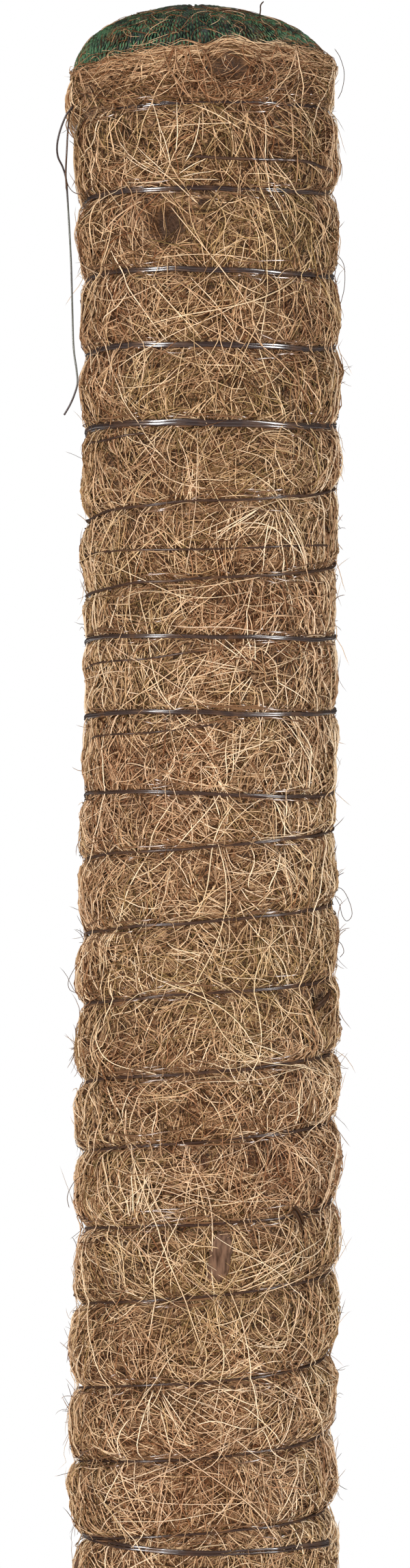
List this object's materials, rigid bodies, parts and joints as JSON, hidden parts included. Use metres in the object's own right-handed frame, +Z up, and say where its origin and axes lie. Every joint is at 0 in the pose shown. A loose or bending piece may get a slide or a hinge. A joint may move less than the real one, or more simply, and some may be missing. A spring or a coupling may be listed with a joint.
{
  "type": "moss pole",
  "caption": "Straight climbing pole for pot plants: a plastic core pipe with a bare foot for the soil, wrapped in a coir mat bound with dark thread under a green net crown.",
  "frame": {"origin": "middle of the foot plug's flat lower face", "axes": "+Z up the pole's axis, -Y towards the front that the picture shows, +X to the right seen from the front"},
  "size_m": [0.0437, 0.041, 0.4],
  "materials": {
    "grey_pipe": "satin",
    "black_plug": "satin",
    "packed_coir": "matte",
    "straw_coir": "matte",
    "green_net": "matte",
    "dark_thread": "satin"
  },
  "bodies": {
    "root": {"core_pipe": "grey_pipe", "foot_plug": "black_plug", "head_plug": "black_plug", "inner_fill": "packed_coir", "crown_wad": "packed_coir", "net_sleeve": "green_net", "coir_mat": "straw_coir", "binding_thread": "dark_thread", "start_knot": "dark_thread", "end_knot": "dark_thread", "loose_tail": "dark_thread"}
  },
  "joints": []
}
